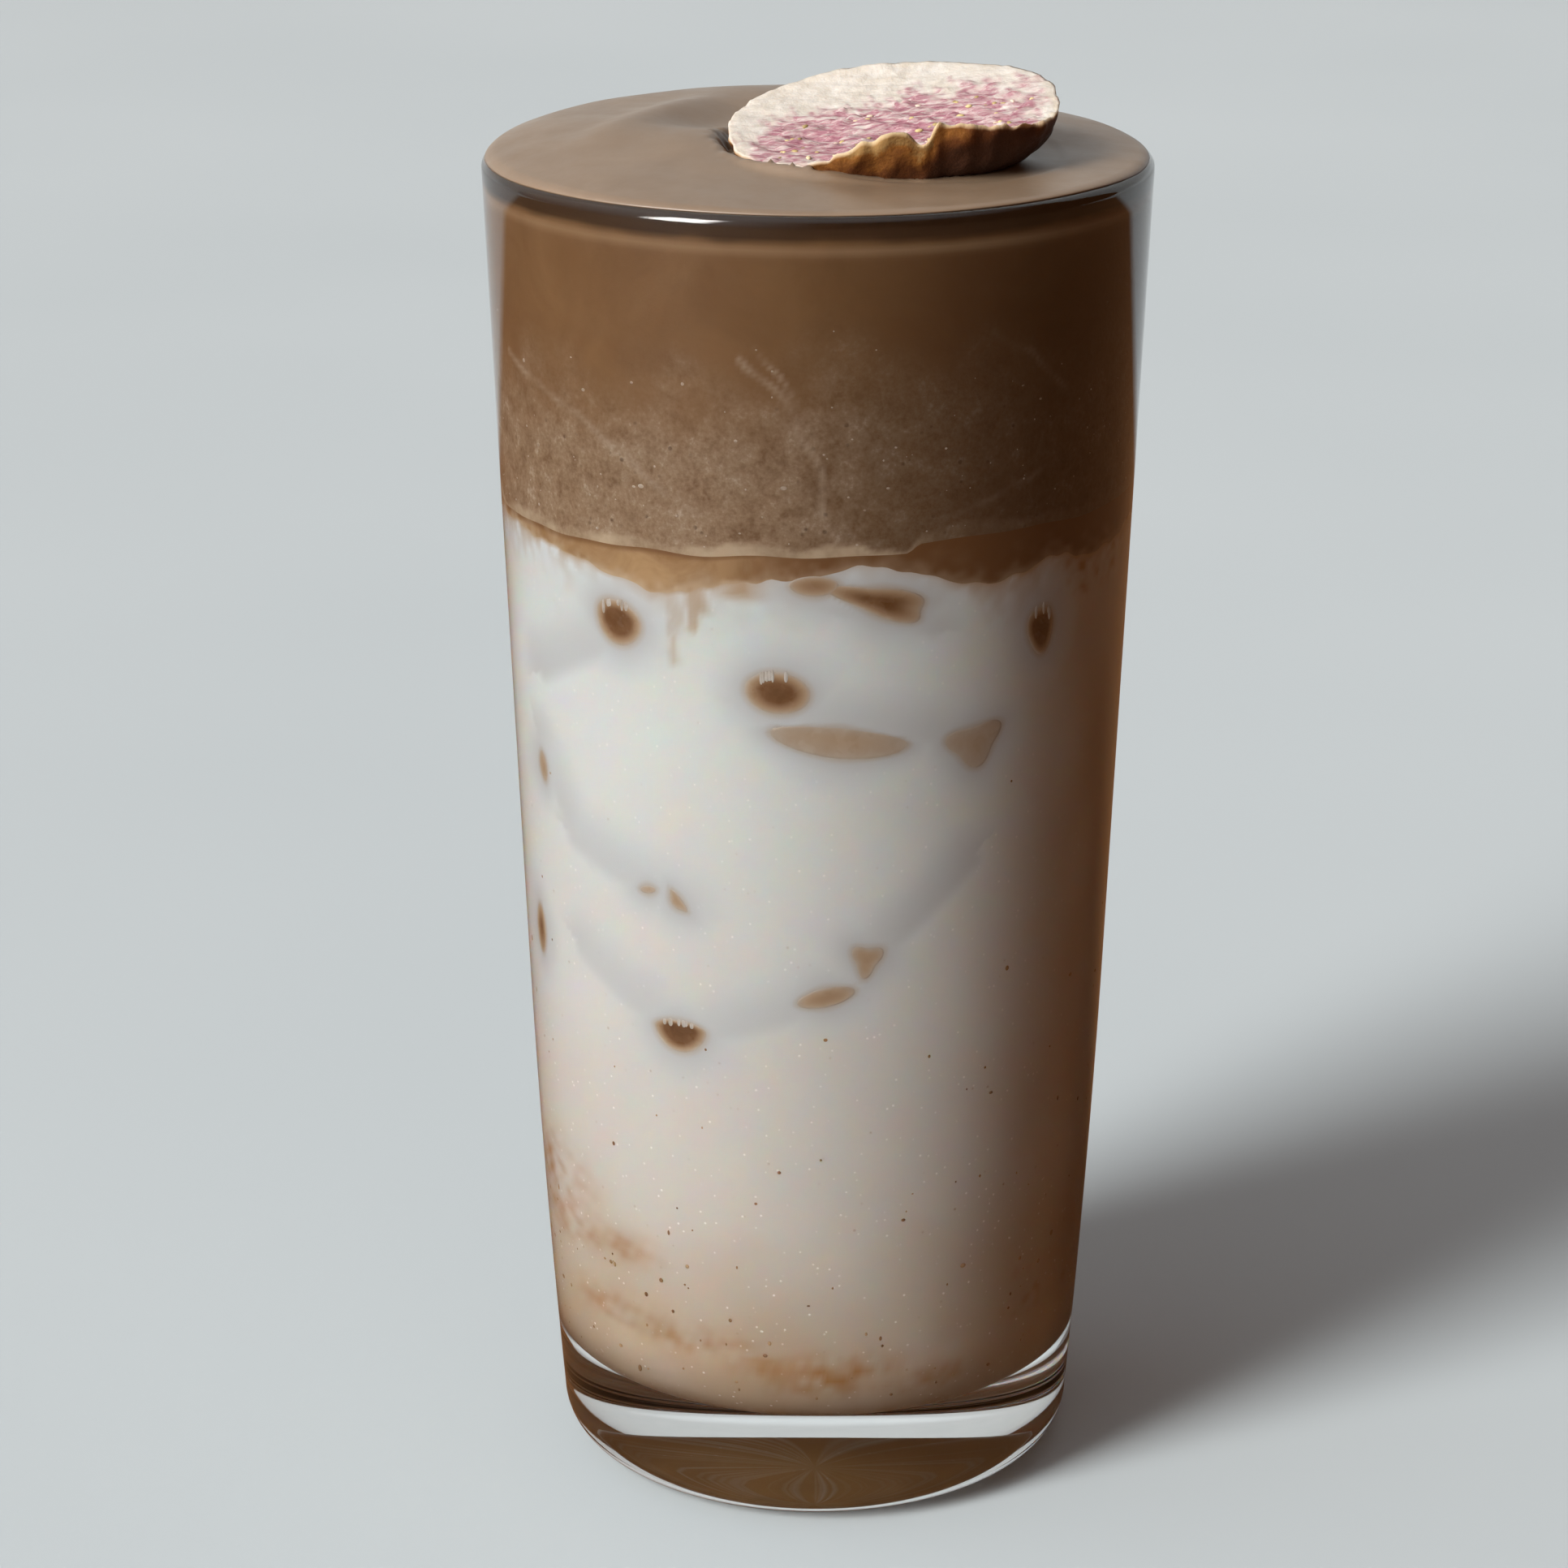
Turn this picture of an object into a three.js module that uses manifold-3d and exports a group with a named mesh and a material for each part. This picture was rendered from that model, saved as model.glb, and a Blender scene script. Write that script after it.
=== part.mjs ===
// Iced hojicha latte: a tall clear glass filled with milk, a thin layer of tea that
// seeps into it, and a thick tea foam that domes over the rim and carries a slice of dried fig.
// Millimetres, +Z up. The origin is the centre of the foot, on the table.
// An angle is measured round the glass from its front (-Y) towards its right side (+X).

import * as THREE from 'three';
import { ParametricGeometry } from 'three/addons/geometries/ParametricGeometry.js';
import { mergeVertices } from 'three/addons/utils/BufferGeometryUtils.js';
import Module from 'manifold-3d';

// Glass
const GLASS_HEIGHT = 150;
const RIM_RADIUS = 36.3;
const TAPER_FOOT_RADIUS = 30.25; // where the straight taper would meet the table
const HEEL_HEIGHT = 60; // below this the side tucks in a little more than the taper
const HEEL_TUCK = 1.36;
const FOOT_ROUND = 5.5;
const WALL_AT_RIM = 2.2;
const WALL_GAIN_AT_FOOT = 1.0;
const BASE_THICKNESS = 11.8;
const INSIDE_ROUND = 8.5;
const PUNT_RADIUS = 22.3;
const PUNT_DEPTH = 3.85;

// Drink
const GAP = 0.3; // clearance between pieces that touch in the real drink
const TEA_UNDERSIDE = 110.7;
const TEA_LOBES = 4;
const TEA_LOBE_DEPTH = 1.2;
const TEA_LOBE_ANGLE = degrees(6);
const FOAM_UNDERSIDE = 113.9;
const FOAM_SLANT = 1.1; // the foam's underside is higher on the right by this much
const FOAM_SLANT_ANGLE = degrees(5);

// Foam above the rim
const FOAM_EDGE = 0.35; // thickness of the foam's edge on the lip
const DOME_RISE = 1.8;
const DOME_LEAN_BACK = 0.045; // extra rise for each millimetre towards the back
const DOME_LEAN_LEFT = 0.03;
const DOME_POWER = 5;
const SWELL_RISE = 1.4; // foam pushed up beside the left end of the fig slice
const SWELL_SPREAD = 7;
const SWELL_CENTRE = new THREE.Vector2(-15, -8);

// Fig slice
const FIG_HALF_LENGTH = 17.4;
const FIG_HALF_WIDTH = 13.5;
const FIG_SQUARENESS = 2.5; // 2 is an ellipse
const FIG_DEPTH = 6;
const FIG_SKIN_POWER = 0.5; // 1 is a round bowl, less has steeper sides
const FIG_DISH = 0.8; // the cut face is hollow by this much
const FIG_RIM_POWER = 8; // how close to the rim its bends stay
const FIG_CURL = 3.8; // the torn near rim curls up, most of all right of its middle
const FIG_CURL_CENTRE = 3;
const FIG_CURL_SPREAD = 14;
const FIG_FAR_RISE = 1; // the far rim bends up too, most of all left of its middle
const FIG_FAR_CENTRE = -3;
const FIG_FAR_SPREAD = 12;
const FIG_NOTCH_DEPTH = 2;
const FIG_NOTCH_ANGLE = degrees(6);
const FIG_NOTCH_SPREAD = degrees(5);
const FIG_CENTRE = new THREE.Vector3(7.9, -8, 155.5);
const FIG_YAW = degrees(7);
const FIG_TILT = degrees(10);
const FIG_LIFT = degrees(7); // the right end is lifted out of the foam
const SEAT_HEADROOM = 8; // the seat in the foam is open above the slice

// Facets
const SEGMENTS = 64;
const FIG_SEGMENTS = 56;
const ROUND_STEPS = 6;
const HEEL_STEPS = [HEEL_HEIGHT, 38, 24];
const PUNT_SHARES = [0, 0.4, 0.75, 1];
const LEVEL_SHARES = [0, 0.3, 0.6, 0.85, 1];
const DOME_SHARES = [1, 0.97, 0.92, 0.85, 0.75, 0.64, 0.52, 0.4, 0.28, 0.15, 0];
const SKIN_TURNS = [75, 58, 40, 22, 8].map(degrees);
const FACE_SHARES = [1, 0.93, 0.8, 0.6, 0.4, 0.2, 0];

// The lip is half round
const LIP_ROUND = WALL_AT_RIM / 2;
const LIP_HEIGHT = GLASS_HEIGHT - LIP_ROUND;
const LIP_CENTRE = outerRadius(LIP_HEIGHT) - LIP_ROUND;

const wasm = await Module();
wasm.setup();

function degrees(value) {
  return THREE.MathUtils.degToRad(value);
}

// Outer radius: a straight taper, less a tuck that grows with the square of the depth below the heel.
function outerRadius(height) {
  const taper = THREE.MathUtils.lerp(TAPER_FOOT_RADIUS, RIM_RADIUS, height / GLASS_HEIGHT);
  return taper - HEEL_TUCK * heelShare(height) ** 2;
}

function innerRadius(height) {
  return outerRadius(height) - WALL_AT_RIM - WALL_GAIN_AT_FOOT * heelShare(height);
}

function heelShare(height) {
  return Math.max(0, (HEEL_HEIGHT - height) / HEEL_HEIGHT);
}

function fillRadius(height) {
  return innerRadius(height) - GAP;
}

// Evenly spaced values from first to last, both included.
function spread(first, last, steps) {
  return Array.from({ length: steps + 1 }, (_, step) => THREE.MathUtils.lerp(first, last, step / steps));
}

// Points of a round corner, from one direction to another, as radius and height.
function corner(centreRadius, centreHeight, radius, from, to) {
  return spread(degrees(from), degrees(to), ROUND_STEPS).map((turn) => [
    centreRadius + radius * Math.cos(turn),
    centreHeight + radius * Math.sin(turn),
  ]);
}

// One skin with shared corners, without the empty triangles that a pole leaves.
function weld(geometry) {
  geometry.deleteAttribute('normal');
  geometry.deleteAttribute('uv');
  const skin = mergeVertices(geometry);
  const corners = Array.from(skin.index.array);
  const kept = [];
  for (let first = 0; first < corners.length; first += 3) {
    const triangle = corners.slice(first, first + 3);
    if (new Set(triangle).size === 3) kept.push(...triangle);
  }
  skin.setIndex(kept);
  skin.computeVertexNormals();
  return skin;
}

// A closed body from rings, lowest first: each ring gives radius and height for an angle,
// and the first and last ring have no radius.
function ringed(rings, segments) {
  const place = (around, along, point) => {
    const angle = 2 * Math.PI * (around % 1);
    const [radius, height] = rings[Math.round(along * (rings.length - 1))](angle);
    point.set(radius * Math.sin(angle), -radius * Math.cos(angle), height);
  };
  return weld(new ParametricGeometry(place, segments, rings.length - 1));
}

function toSolid(geometry) {
  return new wasm.Manifold(new wasm.Mesh({
    numProp: 3,
    vertProperties: new Float32Array(geometry.attributes.position.array),
    triVerts: new Uint32Array(geometry.index.array),
  }));
}

function toGeometry(solid) {
  const { vertProperties, triVerts } = solid.getMesh();
  const geometry = new THREE.BufferGeometry();
  geometry.setAttribute('position', new THREE.BufferAttribute(vertProperties, 3));
  geometry.setIndex(Array.from(triVerts));
  geometry.computeVertexNormals();
  return geometry;
}

// Glass, turned from one profile: punt, foot, outer side, lip, inner side and floor.
function glassGeometry() {
  const footCentre = outerRadius(FOOT_ROUND) - FOOT_ROUND;
  const floorCorner = BASE_THICKNESS + INSIDE_ROUND;
  const profile = [
    ...PUNT_SHARES.map((share) => [share * PUNT_RADIUS, PUNT_DEPTH * (1 - share ** 2)]),
    ...corner(footCentre, FOOT_ROUND, FOOT_ROUND, -90, 0),
    ...HEEL_STEPS.toReversed().map((height) => [outerRadius(height), height]),
    ...corner(LIP_CENTRE, LIP_HEIGHT, LIP_ROUND, 0, 180),
    ...HEEL_STEPS.map((height) => [innerRadius(height), height]),
    ...corner(innerRadius(floorCorner) - INSIDE_ROUND, floorCorner, INSIDE_ROUND, 0, -90),
    [0, BASE_THICKNESS],
  ];
  const points = profile.map(([radius, height]) => new THREE.Vector2(radius, height));
  return weld(new THREE.LatheGeometry(points, SEGMENTS).rotateX(Math.PI / 2));
}

// Undersides of the tea and of the foam: wavy at the wall, level in the middle.
function teaUnderside(angle, share) {
  return TEA_UNDERSIDE + TEA_LOBE_DEPTH * share ** 2 * Math.cos(TEA_LOBES * (angle - TEA_LOBE_ANGLE));
}

function foamUnderside(angle, share) {
  return FOAM_UNDERSIDE + FOAM_SLANT * share ** 2 * Math.sin(angle + FOAM_SLANT_ANGLE);
}

// Rings across a level from the middle to the wall, lowered by a clearance.
function levelRings(level, clearance) {
  return LEVEL_SHARES.map((share) => (angle) => {
    const height = level(angle, share) - clearance;
    return [share * fillRadius(height), height];
  });
}

function milkGeometry() {
  const floor = BASE_THICKNESS + GAP;
  const cornerHeight = floor + INSIDE_ROUND;
  const bottom = corner(fillRadius(cornerHeight) - INSIDE_ROUND, cornerHeight, INSIDE_ROUND, -90, 0);
  const rings = [
    () => [0, floor],
    ...bottom.map((point) => () => point),
    ...HEEL_STEPS.toReversed().map((height) => () => [fillRadius(height), height]),
    ...levelRings(teaUnderside, GAP).reverse(),
  ];
  return ringed(rings, SEGMENTS);
}

function teaGeometry() {
  return ringed([...levelRings(teaUnderside, 0), ...levelRings(foamUnderside, GAP).reverse()], SEGMENTS);
}

// Top of the foam at a share of its radius: a flat dome that leans back and left, with one swell.
function foamTop(angle, share) {
  const right = share * LIP_CENTRE * Math.sin(angle);
  const back = -share * LIP_CENTRE * Math.cos(angle);
  const dome = DOME_RISE + DOME_LEAN_BACK * back - DOME_LEAN_LEFT * right;
  const away = SWELL_CENTRE.distanceTo(new THREE.Vector2(right, back)) / SWELL_SPREAD;
  const swell = SWELL_RISE * Math.exp(-0.5 * away ** 2);
  return GLASS_HEIGHT + GAP + FOAM_EDGE + (dome + swell) * (1 - share ** DOME_POWER);
}

// The foam fills the glass and laps over the inner half of the lip.
function foamGeometry() {
  const lap = corner(LIP_CENTRE, LIP_HEIGHT, LIP_ROUND + GAP, 180, 90);
  const rings = [
    ...levelRings(foamUnderside, 0),
    ...lap.map((point) => () => point),
    ...DOME_SHARES.map((share) => (angle) => [share * LIP_CENTRE, foamTop(angle, share)]),
  ];
  return ringed(rings, SEGMENTS);
}

// Fig slice in its own frame: the cut face looks up, and the torn rim is at the front.
// The skin under it is a bowl with steep sides.
function figGeometry(grow, headroom) {
  const outline = (angle) => {
    const along = Math.abs(Math.sin(angle)) / (FIG_HALF_LENGTH + grow);
    const across = Math.abs(Math.cos(angle)) / (FIG_HALF_WIDTH + grow);
    return (along ** FIG_SQUARENESS + across ** FIG_SQUARENESS) ** (-1 / FIG_SQUARENESS);
  };
  const hump = (value, centre, width) => Math.exp(-(((value - centre) / width) ** 2));
  const rimHeight = (angle) => {
    const along = outline(angle) * Math.sin(angle);
    const nearness = Math.max(0, Math.cos(angle)) ** 2;
    const farness = Math.max(0, -Math.cos(angle)) ** 2;
    const turn = angle > Math.PI ? angle - 2 * Math.PI : angle;
    const curl = FIG_CURL * hump(along, FIG_CURL_CENTRE, FIG_CURL_SPREAD);
    const notch = FIG_NOTCH_DEPTH * hump(turn, FIG_NOTCH_ANGLE, FIG_NOTCH_SPREAD);
    const rise = FIG_FAR_RISE * hump(along, FIG_FAR_CENTRE, FIG_FAR_SPREAD);
    return (curl - notch) * nearness + rise * farness;
  };
  const rings = [
    () => [0, -FIG_DEPTH - grow],
    ...SKIN_TURNS.map((turn) => (angle) => {
      const share = Math.cos(turn) ** FIG_SKIN_POWER;
      const height = rimHeight(angle) * (1 - Math.sin(turn)) - (FIG_DEPTH + grow) * Math.sin(turn);
      return [share * outline(angle), height];
    }),
    ...FACE_SHARES.map((share) => (angle) => {
      const height = rimHeight(angle) * share ** FIG_RIM_POWER - FIG_DISH * (1 - share ** 2);
      return [share * outline(angle), height + headroom];
    }),
  ];
  return ringed(rings, FIG_SEGMENTS);
}

function piece(name, geometry, color, roughness, settings = {}) {
  const material = new THREE.MeshStandardMaterial({ color, roughness, metalness: 0, ...settings });
  const mesh = new THREE.Mesh(geometry, material);
  mesh.name = name;
  return mesh;
}

// The slice lies in the foam: turned about the vertical, far side up, right end lifted.
const figSlice = piece('fig_slice', figGeometry(0, 0), 0xe6d3c4, 0.8);
figSlice.position.copy(FIG_CENTRE);
figSlice.rotation.set(FIG_TILT, -FIG_LIFT, FIG_YAW, 'ZXY');
figSlice.updateMatrix();

// The foam is cut away where the slice presses into it.
const seat = toSolid(figGeometry(GAP, SEAT_HEADROOM).applyMatrix4(figSlice.matrix));
const seatedFoam = toGeometry(toSolid(foamGeometry()).subtract(seat));

const latte = new THREE.Group();
latte.add(
  piece('glass', glassGeometry(), 0xeef3f3, 0.04, { transparent: true, opacity: 0.25 }),
  piece('milk', milkGeometry(), 0xd9d2c8, 0.35),
  piece('tea_layer', teaGeometry(), 0x9a7a5c, 0.35),
  piece('hojicha_foam', seatedFoam, 0x7a6250, 0.45),
  figSlice,
);

export default latte;
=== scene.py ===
"""Looks of an iced hojicha latte in a tall glass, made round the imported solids.

Lengths are millimetres and turn into metres when a mesh is written. An angle round the glass
counts from its front, positive to the right: x = radius * sin(angle), y = -radius * cos(angle).
"""

import bpy
import numpy as np
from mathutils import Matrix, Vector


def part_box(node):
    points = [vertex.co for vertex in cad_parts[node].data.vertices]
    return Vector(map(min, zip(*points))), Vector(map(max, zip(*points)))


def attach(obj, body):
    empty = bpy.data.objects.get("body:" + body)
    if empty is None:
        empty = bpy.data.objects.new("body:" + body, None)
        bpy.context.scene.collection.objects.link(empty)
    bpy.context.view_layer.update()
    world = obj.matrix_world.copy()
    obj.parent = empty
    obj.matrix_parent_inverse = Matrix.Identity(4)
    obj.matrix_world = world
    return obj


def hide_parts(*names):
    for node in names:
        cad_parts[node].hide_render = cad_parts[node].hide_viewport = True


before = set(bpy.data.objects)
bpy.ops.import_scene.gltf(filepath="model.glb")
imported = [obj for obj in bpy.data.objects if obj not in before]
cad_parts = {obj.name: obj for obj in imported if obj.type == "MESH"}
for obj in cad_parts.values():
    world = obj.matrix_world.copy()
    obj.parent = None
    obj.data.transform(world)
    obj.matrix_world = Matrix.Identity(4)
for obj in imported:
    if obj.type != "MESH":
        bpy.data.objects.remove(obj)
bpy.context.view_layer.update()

# Glass
MM = 0.001
GLASS_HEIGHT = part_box("glass")[1][2] / MM
RIM_RADIUS = 36.3
TAPER_FOOT_RADIUS = 30.25
HEEL_HEIGHT = 60
HEEL_TUCK = 1.36
FOOT_ROUND = 5.5
WALL_AT_RIM = 2.2
WALL_GAIN_AT_FOOT = 1.0
BASE_THICKNESS = 11.8
INSIDE_ROUND = 8.5
PUNT_RADIUS = 22.3
PUNT_DEPTH = 3.85
LIP_ROUND = WALL_AT_RIM / 2
LIP_HEIGHT = GLASS_HEIGHT - LIP_ROUND

# Drink
WALL_RADIUS = 33  # about the wall's, for noise and lengths round it
WALL_BITE = 0.1  # how far the drink reaches into the wall, so that no air shows between them
TEA_UNDERSIDE = 110.7
TEA_LOBES = 4
TEA_LOBE_DEPTH = 1.2
TEA_LOBE_ANGLE = np.radians(6)
FOAM_UNDERSIDE = 113.9
FOAM_SLANT = 1.1
FOAM_SLANT_ANGLE = np.radians(5)

# Foam above the rim
FOAM_EDGE = 0.45
LAP_RINGS_WITH_SIDE = 8  # rings of its lap over the lip that have the finish of its side
DOME_RISE = 1.8
DOME_LEAN_BACK = 0.045
DOME_LEAN_LEFT = 0.03
DOME_POWER = 5
SWELL_RISE = 1.4
SWELL_SPREAD = 7
SWELL_CENTRE = (-15, -8)

# Fig slice
FIG_HALF_LENGTH = 17.4
FIG_HALF_WIDTH = 13.5
FIG_SQUARENESS = 2.5
FIG_DEPTH = 6
FIG_DISH = 0.8
FIG_RIM_POWER = 8
FIG_CURL = 3.8
FIG_CURL_CENTRE = 3
FIG_CURL_SPREAD = 14
FIG_FAR_RISE = 1
FIG_FAR_CENTRE = -3
FIG_FAR_SPREAD = 12
FIG_NOTCH_DEPTH = 2
FIG_NOTCH_ANGLE = np.radians(6)
FIG_NOTCH_SPREAD = np.radians(5)
FIG_CENTRE = np.array([7.9, -8, 155.5])
FIG_YAW = np.radians(7)
FIG_TILT = np.radians(10)
FIG_LIFT = np.radians(7)
SEED_HALF_SIZES = ((0.28, 0.5), (0.22, 0.34), (0.16, 0.24))  # least and most, along three axes

# Ice that presses on the wall: angle, height, half length, half height, roll, press, how much flatter
# its upper half is, and how far its outline goes from an ellipse to a triangle that points down
ICE_SPOTS = (
    (-39, 105, 2.9, 2.5, -14, 0.9, 1.15, 0.03),
    (-7.2, 99.2, 3.3, 2.3, -6, 0.8, 1.1, 0),
    (4.2, 94, 7.2, 2, -7, 0.13, 1.7, 0),
    (30.9, 92.3, 2.8, 2.1, 8, 0.1, 1, 0.24),
    (-0.5, 111, 2.4, 1.1, 0, 0.42, 1.2, 0),
    (12, 109, 1.5, 4.9, -106, 0.66, 1, 0.2),
    (45.5, 103.5, 1.8, 2.6, 8, 1, 1, 0.08),
    (-64.8, 85, 0.8, 1.6, 10, 0.2, 1, 0),
    (-34.3, 75.1, 0.9, 0.35, 10, 0.12, 1, 0),
    (-27.7, 74.4, 1.3, 0.55, -50, 0.2, 1, 0.15),
    (-70.9, 64.9, 1.2, 2.8, 0, 0.6, 1, 0),
    (-28, 59.4, 3, 2.4, 0, 1, 2.4, 0.04),
    (2, 64.6, 3, 1, 14, 0.3, 1, 0),
    (9.9, 68.9, 1.35, 1.6, -6, 0.2, 1.1, 0.26),
)
# Ice edges just under the milk, crisp below and soft above, from left to right: first angle and height,
# last angle and height, depth, width
ICE_EDGES = (
    (9.9, 68.2, 30, 79, 0.35, 4.4),
    (-53, 65.5, -31, 58.8, 0.6, 5),
    (-26, 58.6, 2, 64.2, 0.5, 4.8),
    (-66, 88, -54, 78.5, 0.6, 4.6),
    (-54, 78.5, -29, 73.8, 0.6, 5.4),
    (-12, 97.2, 31, 92.6, 0.45, 4.6),
    (-62, 96.6, -41, 102.6, 0.45, 5),
    (-1, 109, 21, 105.5, 0.5, 3.4),
)
ICE_MIRROR_HEIGHT = 168  # the back has the same ice, turned half round and upside down
ICE_REACH = 2.0  # how far a face's mesh goes, as a share of its outline
ICE_SLOPE = 0.42  # how fast the ice falls away beyond the outline
ICE_DEPTH = 9
DRIP_PRESS = 0.7  # milk hangs over ice that presses harder than this
FLUSH = 0.05  # how far ice at the wall stands out of the milk

# Tea that runs down into the milk: angle, height of its tip, half width, strength
TEA_DRIPS = (
    (-27, 100.9, 1.1, 0.5),
    (-26, 104.2, 1.9, 0.45),
    (-22.6, 104.9, 1.1, 0.75),
    (-21.8, 107, 2.4, 0.75),
    (-31, 107.6, 3, 0.7),
    (-13, 109, 5.5, 0.85),
    (30, 109.2, 2.6, 0.7),
    (41, 104.5, 3.6, 0.4),
)
# Syrup and tea dust at the wall: angle, height, half length, half height, strength
STAINS = (
    (-72, 35.7, 7, 3.6, 0.65),
    (-65, 30.7, 7, 2.6, 0.65),
    (-47, 30.6, 5, 1.8, 0.5),
    (-30, 21.4, 7, 1.8, 0.6),
    (-48, 22.5, 7, 2.2, 0.5),
    (4, 18.4, 8, 2.6, 0.7),
    (-12, 19.5, 5, 1.4, 0.5),
    (24, 17, 7, 1.8, 0.5),
    (60, 110, 14, 6, 0.6),
    (62, 24, 10, 7, 0.35),
)
# Wrinkles in the foam at the wall: first angle and height, last angle and height
FOAM_WRINKLES = (
    (-9.3, 136.2, -3.4, 128.8),
    (-3.4, 128.8, 0.5, 121.5),
    (0.5, 121.5, 3.4, 114.9),
    (-13.8, 135, -4.9, 129.7),
    (-70, 131, -47, 126.8),
    (-47, 126.8, -21, 118),
    (33, 137, 52, 128),
    (21, 117, 47, 122),
    (150, 136, 170, 121),
    (-160, 133, -135, 123),
)

FLOOR_GAP = 0.03  # air under the foot
LAMP = 34  # strength of the window

# Points round a piece, and rings of a small blob
ROUND = 400
FIG_ROUND = 288
BLOB_ROUND = 8
BLOB_RINGS = 6


# Arrays and meshes


def place(radius, angle, height):
    """Points at a radius, an angle from the front and a height."""
    return np.stack(np.broadcast_arrays(radius * np.sin(angle), -radius * np.cos(angle), height), axis=-1)


def around(count):
    return np.linspace(0, 2 * np.pi, count, endpoint=False)


def smooth(low, high, value):
    """Zero below low and one above high, with the cubic 3t^2 - 2t^3 between."""
    share = np.clip((value - low) / (high - low), 0, 1)
    return share * share * (3 - 2 * share)


def hump(value, centre, spread):
    """Bell curve exp(-((value - centre) / spread)^2)."""
    return np.exp(-(((value - centre) / spread) ** 2))


def ripple(points, seed, longest, shortest, count=28):
    """Seeded noise in space: a sum of sine waves with random headings and phases, whose lengths
    run evenly in ratio from longest to shortest."""
    draw = np.random.default_rng(seed)
    headings = draw.normal(size=(count, 3))
    headings /= np.linalg.norm(headings, axis=1, keepdims=True)
    lengths = np.geomspace(longest, shortest, count)
    starts = draw.uniform(0, 2 * np.pi, count)
    total = np.zeros(points.shape[:-1])
    for heading, length, start in zip(headings, lengths, starts):
        total += np.sin(2 * np.pi * (points @ heading) / length + start)
    return total / np.sqrt(count)


def wrapped(angle):
    """The same angle between minus and plus half a turn."""
    return (angle + np.pi) % (2 * np.pi) - np.pi


def ring_faces(count, across):
    """Corners of the faces of a stack of rings whose first and last ring are single points: a fan,
    a grid of quads in which the last column joins the first, and a fan."""
    grid = 1 + np.arange((count - 2) * across).reshape(count - 2, across)
    after = np.roll(grid, -1, axis=1)
    last = 1 + (count - 2) * across
    low = np.stack([np.zeros(across, int), after[0], grid[0]], axis=-1)
    quads = np.stack([grid[:-1], after[:-1], after[1:], grid[1:]], axis=-1).reshape(-1, 4)
    high = np.stack([grid[-1], after[-1], np.full(across, last)], axis=-1)
    return low, quads, high


def in_point_order(stacks):
    """What stacks of rings hold, in the order of a mesh's points: one entry for each end of a stack."""
    middle = stacks[:, 1:-1].reshape(len(stacks), -1, *stacks.shape[3:])
    listed = np.concatenate([stacks[:, 0, :1], middle, stacks[:, -1, :1]], axis=1)
    return listed.reshape(-1, *stacks.shape[3:])


def write_mesh(name, points, triangles, quads, values, material):
    """A mesh object at the origin from arrays of points, triangles and quads, with a number for
    each point under each name in values."""
    mesh = bpy.data.meshes.new(name)
    corners = np.concatenate([triangles.ravel(), quads.ravel()]).astype(np.int32)
    starts = np.concatenate([3 * np.arange(len(triangles)), 3 * len(triangles) + 4 * np.arange(len(quads))])
    mesh.vertices.add(len(points))
    mesh.vertices.foreach_set("co", (points * MM).astype(np.float32).ravel())
    mesh.loops.add(len(corners))
    mesh.loops.foreach_set("vertex_index", corners)
    mesh.polygons.add(len(starts))
    mesh.polygons.foreach_set("loop_start", starts.astype(np.int32))
    mesh.polygons.foreach_set("use_smooth", np.ones(len(starts), bool))
    for key, numbers in values.items():
        layer = mesh.attributes.new(key, "FLOAT", "POINT")
        layer.data.foreach_set("value", numbers.astype(np.float32))
    mesh.update(calc_edges=True)
    mesh.validate()
    mesh.materials.append(material)
    piece = bpy.data.objects.new(name, mesh)
    bpy.context.scene.collection.objects.link(piece)
    return piece


def many_ringed(name, stacks, values, material):
    """Many closed skins of the same make in one mesh: stacks holds them along its first axis, each as
    rings, lowest first."""
    each, count, across = stacks.shape[:3]
    low, quads, high = ring_faces(count, across)
    shift = (2 + (count - 2) * across) * np.arange(each)[:, None, None]
    triangles = (np.concatenate([low, high])[None] + shift).reshape(-1, 3)
    quads = (quads[None] + shift).reshape(-1, 4)
    listed = {key: in_point_order(numbers) for key, numbers in values.items()}
    return write_mesh(name, in_point_order(stacks), triangles, quads, listed, material)


def ringed(name, rings, values, material, creases=()):
    """One closed skin from a stack of rings. The rings in creases get sharp edges."""
    single = {key: numbers[None] for key, numbers in values.items()}
    piece = many_ringed(name, rings[None], single, material)
    if creases:
        ends = np.empty(2 * len(piece.data.edges), np.int32)
        piece.data.edges.foreach_get("vertices", ends)
        on_ring = (ends.reshape(-1, 2) - 1) // rings.shape[1] + 1
        sharp = (on_ring[:, 0] == on_ring[:, 1]) & np.isin(on_ring[:, 0], creases)
        layer = piece.data.attributes.new("sharp_edge", "BOOLEAN", "EDGE")
        layer.data.foreach_set("value", sharp)
    return piece


# Finishes


building = {}  # holds the node tree that new nodes go into


def set_inputs(node, inputs):
    """A node's inputs get values, or links from the outputs of other nodes."""
    for key, value in inputs.items():
        if isinstance(value, bpy.types.NodeSocket):
            building["tree"].links.new(value, node.inputs[key])
        else:
            node.inputs[key].default_value = value


def add(kind, inputs=None, **settings):
    made = building["tree"].nodes.new("ShaderNode" + kind)
    for key, value in settings.items():
        setattr(made, key, value)
    set_inputs(made, inputs or {})
    return made


def finish(name, make_inputs):
    """A material whose shader gets the inputs that a function makes in its node tree."""
    material = bpy.data.materials.new(name)
    material.use_nodes = True
    building["tree"] = material.node_tree
    set_inputs(material.node_tree.nodes["Principled BSDF"], make_inputs())
    return material


def where():
    return add("TexCoord").outputs["Object"]


def number(name):
    return add("Attribute", attribute_name=name).outputs["Fac"]


def height_in_mm():
    split = add("SeparateXYZ", {0: where()})
    return times(split.outputs["Z"], 1 / MM)


def stretch(value, low, high, new_low=0.0, new_high=1.0):
    limits = {1: low, 2: high, 3: new_low, 4: new_high}
    return add("MapRange", {0: value, **limits}).outputs[0]


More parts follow.
